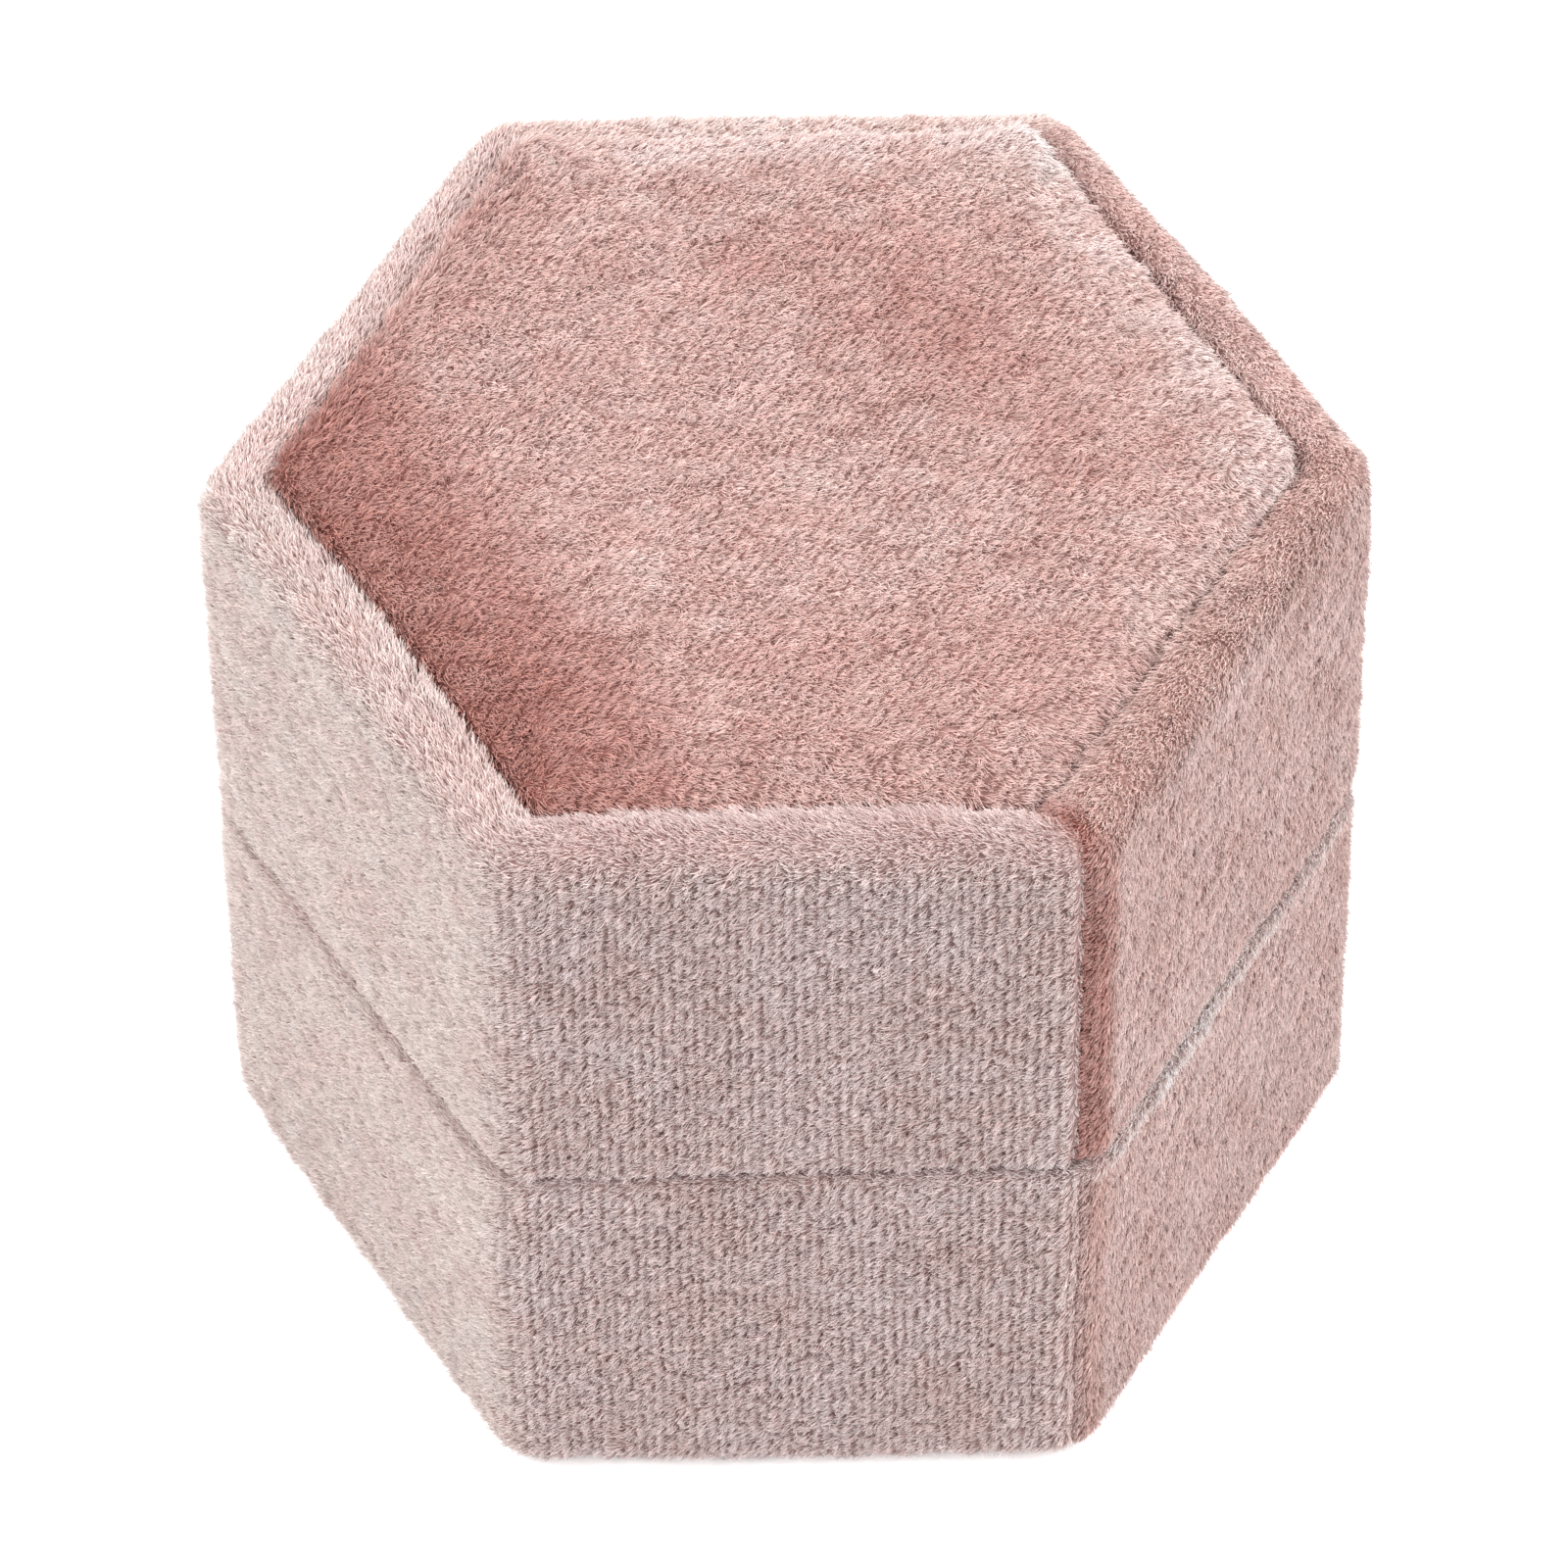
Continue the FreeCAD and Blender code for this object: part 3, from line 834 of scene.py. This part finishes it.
def swell(made, pinned_below, pressure, most):
    """Cloth simulation: the block's velvet swells under the foam's push, its foot glued down."""
    places = vertices_of(made)
    pins = made.vertex_groups.new(name="glued")
    pins.add(np.nonzero(places[:, 2] < pinned_below)[0].tolist(), 1.0, "REPLACE")
    modifier = made.modifiers.new("cloth", "CLOTH")
    modifier.settings.use_pressure = True
    modifier.settings.uniform_pressure_force = pressure
    modifier.settings.effector_weights.gravity = 0
    modifier.settings.vertex_group_mass = "glued"
    modifier.settings.quality = 6
    modifier.point_cache.frame_start = 1
    modifier.point_cache.frame_end = SIM_FRAMES
    scene = bpy.context.scene
    for step in range(1, SIM_FRAMES + 1):
        scene.frame_set(step)
    graph = bpy.context.evaluated_depsgraph_get()
    moved = made.evaluated_get(graph).to_mesh()
    result = np.empty(len(moved.vertices) * 3)
    moved.vertices.foreach_get("co", result)
    result = result.reshape(-1, 3) / MM
    made.modifiers.clear()
    scene.frame_set(1)
    shift = result - places
    far = np.linalg.norm(shift, axis=1, keepdims=True)
    set_vertices(made, places + shift * np.minimum(1, most / np.maximum(far, 1e-9)))
    print("swelling", round(float(far.max()), 2), "capped at", most)


def relax(made, steps):
    modify(made, "SMOOTH", factor=0.5, iterations=steps)


def subdivide(made):
    modify(made, "SUBSURF", levels=1, render_levels=1)


def shell(made, glued=-1):
    """Opens a pad's glued side, -1 below or 1 above, and gives its velvet the cloth's thickness."""
    level = (vertices_of(made)[:, 2] * glued).max() - 0.12
    mesh = made.data
    work = bmesh.new()
    work.from_mesh(mesh)
    under = [face for face in work.faces
             if all(vertex.co.z / MM * glued > level for vertex in face.verts)]
    bmesh.ops.delete(work, geom=under, context="FACES")
    work.to_mesh(mesh)
    work.free()
    modify(made, "SOLIDIFY", thickness=CLOTH * MM, offset=-1)


def finish_pad(made, body, nap, tones_and_painted_light, density, seed, keep, replaced):
    """Pile and material of a padded velvet piece; its wales lie across the nap."""
    vertices, normals, triangles = vertices_of(made), normals_of(made), triangles_of(made)
    kept = keep(vertices, normals)
    triangles = triangles[kept[triangles].all(axis=1)]
    naps = np.broadcast_to(nap, (len(vertices), 3))
    full = np.ones(len(vertices))
    bushy = 1 + 0.55 * np.clip(1.1 - np.abs(normals[:, 2]), 0, 1)
    x, y = PAD_WALES
    weave = vertices[:, :2] @ np.array([[x, -y], [y, x]])
    wale_way = np.broadcast_to(np.append(PAD_WALES, 0.0), (len(vertices), 3))
    count = plant(made.name + "_pile", body, vertices, triangles, normals, weave, wale_way, naps,
                  bushy, full, 0.8 * full, tones_and_painted_light, density, seed)
    made.data.materials.append(VELVET)
    smooth_faces(made.data)
    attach(made, body)
    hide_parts(replaced)
    print(made.name, len(made.data.vertices), "vertices,", count, "fibres")


# ---- the padded panel in the lid's recess
PAD_RISE = 2.05              # how far its middle is lifted by the foam
PAD_TILT = np.array([0.004, 0.046])            # rise for each millimetre in x and in y
PAD_SPREAD = [0.85, 0.95, 1.15, 0.25, 0.15, 0.36]    # over the rim's edge, towards each panel
PAD_COLOUR = np.array([0.98, 0.99, 0.98])
PAD_NAP = np.array([0.92, -0.38, 0.0])         # the way its pile lies
PAD_WALES = np.array([0.835, -0.55])           # across the knitted rows of every padded piece
# Painted shade and sheen towards a side, darker where the rim shades the panel and paler on its
# raised edges: amount, where it starts and is full, the side's angle
PAD_SIDE_SHADE_AND_SHEEN = (
    (-0.48, 11.5, 18.0, 210), (-0.07, 14.5, 19.0, 150), (0.12, 16.0, 20.5, 30),
    (0.18, 17.0, 20.5, 90), (0.06, 17.0, 20.5, 330), (-0.08, 8.0, 13.0, 270))
# Darker or paler spots: amount, x, y, half length, half width, angle
PAD_SPOTS = (
    (-0.30, 8.0, 8.0, 6.0, 3.4, -60), (-0.14, 14.0, -1.5, 3.0, 3.0, 0),
    (-0.14, -2.0, 12.0, 3.0, 2.0, 0), (0.05, 6.0, -4.0, 7.0, 4.0, 0),
    (0.08, -9.0, 15.5, 3.5, 2.5, 0))


def patch(points, x, y, long, wide, angle):
    """A soft oval spot on the panel, 1 in its middle."""
    turn = math.radians(angle)
    u = (points[:, 0] - x) * math.cos(turn) + (points[:, 1] - y) * math.sin(turn)
    v = -(points[:, 0] - x) * math.sin(turn) + (points[:, 1] - y) * math.cos(turn)
    return np.exp(-(u / long) ** 2 - (v / wide) ** 2)


def toward(points, angle):
    """How far a place lies towards one side of the hexagon."""
    turn = math.radians(angle)
    return points[:, 0] * math.cos(turn) + points[:, 1] * math.sin(turn)


def pad_painted_light_and_pressed_pile(points):
    """Painted shade near the rim, painted sheen on raised edges, and spots of pressed pile."""
    shade = np.zeros(len(points))
    for amount, start, full, angle in PAD_SIDE_SHADE_AND_SHEEN:
        shade += amount * smooth_step(start, full, toward(points, angle))
    for amount, *spot in PAD_SPOTS:
        shade += amount * patch(points, *spot)
    shade += 0.025 * waves(points, 5.0, 71) + 0.03 * waves(points, 2.2, 72)
    return PAD_COLOUR * np.exp(shade[:, None] * DEEPEN)


def pad_lift(points):
    return PAD_RISE + points[:, :2] @ PAD_TILT


def pad_spread(points):
    """How the panel's top spreads over the rim, and gives way to the folded corner."""
    moved = np.zeros((len(points), 2))
    for angle, spread in zip(PANELS, PAD_SPREAD):
        way = np.array([math.cos(angle), math.sin(angle)])
        moved += np.outer(spread * smooth_step(12.0, 21.0, points[:, :2] @ way), way)
    corner = (OUTER - LID_WALL) / COS_30 * CORNER_WAY
    away = np.linalg.norm(points[:, :2] - corner, axis=1)
    moved[:, 0] -= CORNER_FOLD * np.exp(-away / FOLD_REACH)
    return moved


def padded_block(name, low, high, apothem, radius):
    """A block of foam under velvet, swollen by the simulation, standing on its glued foot."""
    made = block_from(hexagon_points(apothem, radius) * SIM_SCALE,
                      low * SIM_SCALE, high * SIM_SCALE, name)
    remesh(made, SIM_VOXEL)
    relax(made, 5)
    swell(made, (low + 0.7) * SIM_SCALE, 4.0, 6.0)
    set_vertices(made, vertices_of(made) / SIM_SCALE)
    return made


def make_top_pad():
    low, high = PAD_LOW[2], PAD_HIGH[2] - 1.0
    made = padded_block("lid_top_pad", low, high, PAD_HIGH[1] - 0.15, 1.9)
    places = vertices_of(made)
    share = smooth_step(low, high, places[:, 2])
    places[:, 2] += share * (pad_lift(places) + 0.10 * waves(places, 11.0, 41))
    places[:, :2] += (share ** 2)[:, None] * pad_spread(places)
    set_vertices(made, places)
    subdivide(made)
    places, normals = vertices_of(made), normals_of(made)
    upward = np.clip(normals[:, 2], 0, 1)
    relief = 0.022 * waves(places, 1.1, 51) + 0.025 * waves(places, 2.8, 52)
    set_vertices(made, places + normals * (relief * upward)[:, None])
    tones_and_painted_light = pad_painted_light_and_pressed_pile(vertices_of(made))
    colour_attribute(made, "tone_and_painted_light", tones_and_painted_light)
    finish_pad(made, "lid", PAD_NAP, tones_and_painted_light, PILE_DENSITY, 500, lambda p, n: n[:, 2] > -0.35,
               "lid_top_pad_velvet")
    shell(made)


def make_ceiling_pad():
    """The padded panel the rings look up at; made standing up, then turned over."""
    thickness = CEILING_HIGH[2] - CEILING_LOW[2]
    made = padded_block("lid_ceiling_pad", 0.0, thickness - 0.7, CEILING_HIGH[1] - 0.45, 1.6)
    subdivide(made)
    places = vertices_of(made)
    places[:, 1:] = -places[:, 1:]
    places[:, 2] += CEILING_HIGH[2]
    set_vertices(made, places)
    tones_and_painted_light = np.exp(0.06 * waves(places, 6.0, 73)[:, None] * DEEPEN)
    colour_attribute(made, "tone_and_painted_light", tones_and_painted_light)
    top = CEILING_HIGH[2] - 0.3
    finish_pad(made, "lid", np.array([0.9, 0.4, 0.0]), tones_and_painted_light, HIDDEN_DENSITY, 600,
               lambda p, n: (n[:, 2] < 0.35) & (p[:, 2] < top), "lid_ceiling_velvet")
    shell(made, 1)


# ---- the ring insert: a foam block under velvet, cut for two rings
def slot_outline(width, length, pieces=10):
    """Round-ended outline of one cut, long in x."""
    turns = np.linspace(-90, 90, pieces)
    right = [((length - width) / 2 + width / 2 * math.cos(math.radians(t)),
              width / 2 * math.sin(math.radians(t))) for t in turns]
    left = [(-x, -y) for x, y in right]
    return np.array(right + left)


def cut(made, tool):
    modify(made, "BOOLEAN", operation="DIFFERENCE", solver="EXACT", object=tool)
    bpy.data.objects.remove(tool)


def cut_slots(made, width, length, low, high):
    for side in (-1, 1):
        outline = slot_outline(width, length) + np.array([0, side * SLOT_OFFSET])
        cut(made, block_from(outline, low, high))


def distance_to_slots(points):
    """Level distance from the middle line of the nearer cut."""
    half = (SLOT_LENGTH - SLOT_WIDTH) / 2
    beyond = np.maximum(np.abs(points[:, 0]) - half, 0)
    return np.hypot(beyond, np.abs(np.abs(points[:, 1]) - SLOT_OFFSET))


def make_insert():
    """Velvet over the foam, tucked into both cuts, plumped between them."""
    low, high = INSERT_LOW[2], INSERT_HIGH[2]
    apothem = INSERT_HIGH[1]
    foam_top = INSERT_FOAM_HIGH[2]
    made = block_from(hexagon_points(apothem, 1.2), low, high, "insert_cover")
    core = block_from(hexagon_points(apothem - CLOTH, 0.8), low - 1, foam_top)
    cut_slots(core, SLOT_WIDTH, SLOT_LENGTH, foam_top - SLOT_DEPTH, foam_top + 1)
    cut(made, core)
    cut_slots(made, SLOT_WIDTH - 2 * CLOTH, SLOT_LENGTH - 2 * CLOTH,
              foam_top - SLOT_DEPTH + CLOTH, high + 1)
    remesh(made, 0.34)
    relax(made, 8)
    places = vertices_of(made)
    share = smooth_step(foam_top - 4, foam_top, places[:, 2])
    edge = apothem - np.abs(
        places[:, :2] @ np.array([[math.cos(a), math.sin(a)] for a in PANELS]).T).max(axis=1)
    plump = np.minimum(1 - np.exp(-np.maximum(distance_to_slots(places) - 0.7, 0) / 1.6),
                       1 - np.exp(-np.maximum(edge, 0) / 1.6))
    places[:, 2] += share * (1.3 * plump - 0.75)
    set_vertices(made, places)
    places = vertices_of(made)
    # Painted shade towards the cuts, over a faint random tint.
    shade = 0.05 * waves(places, 5.0, 74) - 0.25 * np.exp(-distance_to_slots(places) / 0.8)
    tones_and_painted_light = np.exp(shade[:, None] * DEEPEN)
    colour_attribute(made, "tone_and_painted_light", tones_and_painted_light)
    finish_pad(made, "base", np.array([0.3, -0.95, 0.0]), tones_and_painted_light, HIDDEN_DENSITY, 700,
               lambda p, n: (p[:, 2] > foam_top - 1.6) & (n[:, 2] > -0.2), "insert_velvet")


# ---- foam and boards
def make_foam(name, body, node, low, high, apothem, radius, lift=None, slots=False):
    """A foam block with softened edges, as its own piece."""
    made = block_from(hexagon_points(apothem, radius), low, high, name)
    if slots:
        cut_slots(made, SLOT_WIDTH, SLOT_LENGTH, high - SLOT_DEPTH, high + 1)
    remesh(made, 0.6)
    relax(made, 4)
    places = vertices_of(made)
    if lift is not None:
        places[:, 2] += smooth_step(low, high, places[:, 2]) * lift(places)
    set_vertices(made, places)
    made.data.materials.append(FOAM)
    smooth_faces(made.data)
    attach(made, body)
    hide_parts(node)


def make_foams():
    make_foam("insert_foam_block", "base", "insert_foam", INSERT_FOAM_LOW[2], INSERT_FOAM_HIGH[2],
              INSERT_FOAM_HIGH[1] - 0.05, 0.9, slots=True)
    make_foam("top_pad_foam_sheet", "lid", "lid_top_pad_foam", PAD_FOAM_LOW[2],
              PAD_FOAM_HIGH[2] - 1.0, PAD_FOAM_HIGH[1] - 0.4, 1.6, pad_lift)
    make_foam("ceiling_foam_sheet", "lid", "lid_ceiling_foam", CEILING_FOAM_LOW[2],
              CEILING_FOAM_HIGH[2], CEILING_FOAM_HIGH[1] - 0.4, 1.2)


def paint_boards():
    """The boards, cards and the bottom sheet keep their CAD shape and get a material."""
    for node, material in (
            ("base_floor_board", GREY_BOARD), ("base_wall_board", GREY_BOARD),
            ("lid_wall_board", GREY_BOARD), ("lid_deck_board", GREY_BOARD),
            ("collar_board", WHITE_CARD), ("lid_top_pad_card", WHITE_CARD),
            ("lid_ceiling_card", WHITE_CARD), ("base_bottom_sheet", FLOCK_PAPER)):
        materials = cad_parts[node].data.materials
        materials.clear()
        materials.append(material)


# ---------------------------------------------------------------- studio
SOFTBOX_WIDTH = 420.0
SOFTBOXES = (
    ("left_softbox", (-560, 80, 560), 3.0),
    ("right_softbox", (560, 60, 560), 3.1),
    ("front_left_softbox", (-420, -300, 520), 2.7),
    ("front_right_softbox", (430, -330, 520), 3.0),
    ("back_softbox", (-150, 520, 520), 1.9))


def make_stage():
    floor_material, nodes, links = new_material("studio_floor")
    body = new_node(nodes, "BsdfDiffuse", {"Color": (0.92, 0.92, 0.92, 1)})
    glow = new_node(nodes, "Emission", {"Color": (1, 1, 1, 1), "Strength": 0.30})
    both = nodes.new("ShaderNodeAddShader")
    links.new(body.outputs[0], both.inputs[0])
    links.new(glow.outputs[0], both.inputs[1])
    output(nodes, links, both)
    half = 4000.0
    corners = np.array([[-half, -half, 0], [half, -half, 0], [half, half, 0], [-half, half, 0]])
    floor = new_object("studio_floor", corners, [(0, 1, 2, 3)], [floor_material], False)
    world = bpy.data.worlds.new("studio")
    world.use_nodes = True
    background = world.node_tree.nodes["Background"]
    background.inputs["Color"].default_value = (1, 1, 1, 1)
    background.inputs["Strength"].default_value = 0.08
    bpy.context.scene.world = world
    bpy.context.scene.view_settings.view_transform = "Standard"


def make_softbox(name, place, power):
    """A round soft light, aimed at the middle of the box."""
    data = bpy.data.lights.new(name, "AREA")
    data.shape = "DISK"
    data.size = SOFTBOX_WIDTH * MM
    data.energy = power
    made = linked(name, data)
    made.location = Vector(place) * MM
    made.rotation_mode = "QUATERNION"
    made.rotation_quaternion = (Vector((0, 0, 25)) - Vector(place)).to_track_quat("-Z", "Y")


def make_camera():
    """Long lens, from the front and above, with a slight roll."""
    azimuth, elevation, roll = (math.radians(v) for v in (-0.40, 49.10, -0.55))
    distance = 494.4
    back = Vector((math.sin(azimuth) * math.cos(elevation),
                   -math.cos(azimuth) * math.cos(elevation), math.sin(elevation)))
    right = Vector((math.cos(azimuth), math.sin(azimuth), 0))
    above = back.cross(right)
    middle, aside, higher = 24.17, 0.150, 0.032
    target = Vector((0, 0, middle)) - right * aside + above * higher
    data = bpy.data.cameras.new("camera")
    data.lens = 223.55
    data.sensor_width = 36.0
    data.clip_start, data.clip_end = 0.05, 20.0
    made = linked("camera", data)
    tilted_right = right * math.cos(roll) + above * math.sin(roll)
    tilted_above = above * math.cos(roll) - right * math.sin(roll)
    place = (target + back * distance) * MM
    made.matrix_world = Matrix((
        (tilted_right[0], tilted_above[0], back[0], place[0]),
        (tilted_right[1], tilted_above[1], back[1], place[1]),
        (tilted_right[2], tilted_above[2], back[2], place[2]),
        (0, 0, 0, 1)))
    bpy.context.scene.camera = made


make_lid_wrap()
make_base_wrap()
make_collar()
make_lining()
make_top_pad()
make_ceiling_pad()
make_insert()
make_foams()
paint_boards()
make_stage()
for box_name, box_place, box_power in SOFTBOXES:
    make_softbox(box_name, box_place, box_power)
make_camera()
